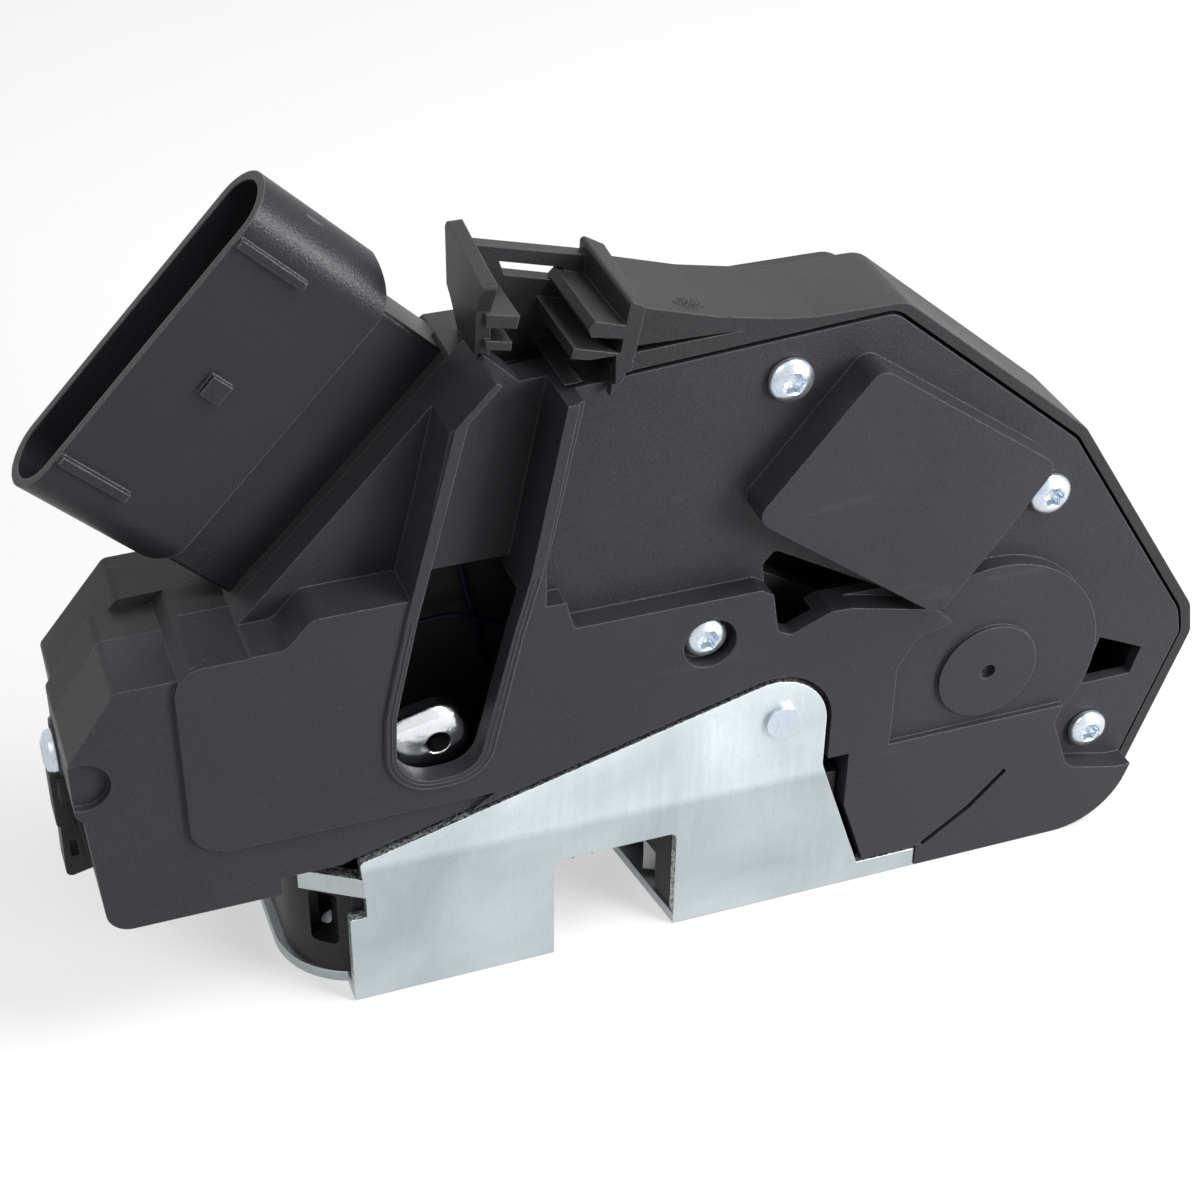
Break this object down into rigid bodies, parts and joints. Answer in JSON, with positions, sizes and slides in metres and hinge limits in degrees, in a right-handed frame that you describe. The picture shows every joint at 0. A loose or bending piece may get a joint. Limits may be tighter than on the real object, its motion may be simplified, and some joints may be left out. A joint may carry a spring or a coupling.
{
  "type": "door latch actuator",
  "caption": "Powered door latch: forked claw and pawl behind a steel plate, with a worm-driven lock, two hand levers and a slanted plug socket in a moulded housing.",
  "frame": {"origin": "where the axis of the latched striker crosses the outer face of the steel plate", "axes": "+Z from the steel plate's outer face up through the housing, +Y from the front cover to the back, +X to the right seen from the front"},
  "size_m": [0.1962, 0.0643, 0.1377],
  "materials": {
    "cover_plastic": "fine grained moulding",
    "housing_plastic": "fine grained moulding",
    "connector_plastic": "smooth moulding",
    "plate_steel": "pale zinc plate",
    "latch_steel": "fine blanked steel",
    "lever_zinc": "bright zinc plate",
    "screw_zinc": "bluish zinc plate",
    "spring_steel": "drawn wire",
    "contact_brass": "tinned brass",
    "motor_steel": "drawn can",
    "gear_plastic": "natural acetal",
    "bumper_rubber": "soft",
    "switch_plastic": "smooth moulding"
  },
  "bodies": {
    "housing": {"front_cover": "cover_plastic", "main_housing": "housing_plastic", "rear_cover": "housing_plastic", "connector_shroud": "connector_plastic", "terminal_pins": "contact_brass", "back_plate": "plate_steel", "latch_frame": "housing_plastic", "latch_housing": "housing_plastic", "retainer_plate": "plate_steel", "claw_pin": "latch_steel", "claw_spring": "spring_steel", "pawl_pin": "latch_steel", "pawl_spring": "spring_steel", "striker_bumper": "bumper_rubber", "flange_rivet": "screw_zinc", "lock_motor": "motor_steel", "wheel_axle": "latch_steel", "lock_lever_pin": "latch_steel", "release_pin": "lever_zinc", "release_spring": "spring_steel", "outside_pin": "screw_zinc", "outside_spring": "spring_steel", "lock_switch": "switch_plastic", "cover_screws": "screw_zinc", "side_screw": "screw_zinc"},
    "claw": {"claw": "latch_steel"},
    "pawl": {"pawl": "latch_steel"},
    "rotor": {"motor_shaft": "latch_steel", "worm": "gear_plastic"},
    "wheel": {"worm_wheel": "gear_plastic"},
    "lock_lever": {"lock_lever": "switch_plastic"},
    "release_lever": {"release_lever": "lever_zinc"},
    "outside_lever": {"outside_lever": "plate_steel"},
    "switch_plunger": {"switch_plunger": "switch_plastic"}
  },
  "joints": [
    {"name": "claw_turn", "type": "hinge", "parent": "housing", "child": "claw", "pos_m": [0.02245, -0.002, 0.00625], "axis": [0, 0, -1], "range_deg": [0, 53], "stiffness_Nm_per_rad": 0.25, "springref_deg": -20.05},
    {"name": "pawl_turn", "type": "hinge", "parent": "housing", "child": "pawl", "pos_m": [-0.01855, -0.013, 0.00625], "axis": [0, 0, 1], "range_deg": [-12, 0]},
    {"name": "wheel_turn", "type": "hinge", "parent": "housing", "child": "wheel", "pos_m": [0.06635, -0.0244, 0.0402], "axis": [0, 1, 0], "range_deg": [0, 100]},
    {"name": "motor_turn", "type": "hinge", "parent": "housing", "child": "rotor", "pos_m": [0.0466, -0.0244, 0.0812], "axis": [0.807, 0, -0.5906], "range_deg": [-3520, 20]},
    {"name": "lock_turn", "type": "hinge", "parent": "housing", "child": "lock_lever", "pos_m": [0.0422, -0.0194, 0.04667], "axis": [0, 1, 0], "range_deg": [-26, 0.5]},
    {"name": "release_turn", "type": "hinge", "parent": "housing", "child": "release_lever", "pos_m": [-0.05755, -0.0285, 0.039], "axis": [0, -1, 0], "range_deg": [0, 16], "stiffness_Nm_per_rad": 0.08, "springref_deg": -28.65},
    {"name": "outside_turn", "type": "hinge", "parent": "housing", "child": "outside_lever", "pos_m": [0.00045, -0.0035, 0.07], "axis": [0, 1, 0], "range_deg": [0, 16], "stiffness_Nm_per_rad": 0.1, "springref_deg": -28.65},
    {"name": "plunger_slide", "type": "slide", "parent": "housing", "child": "switch_plunger", "axis": [0, 0, -1], "range_m": [0, 0.0008], "stiffness_N_per_m": 800, "springref_m": -0.0005}
  ],
  "couplings": [
    {"joint": "motor_turn", "follows": "wheel_turn", "ratio": -35},
    {"joint": "lock_turn", "follows": "wheel_turn", "ratio": -0.25}
  ]
}
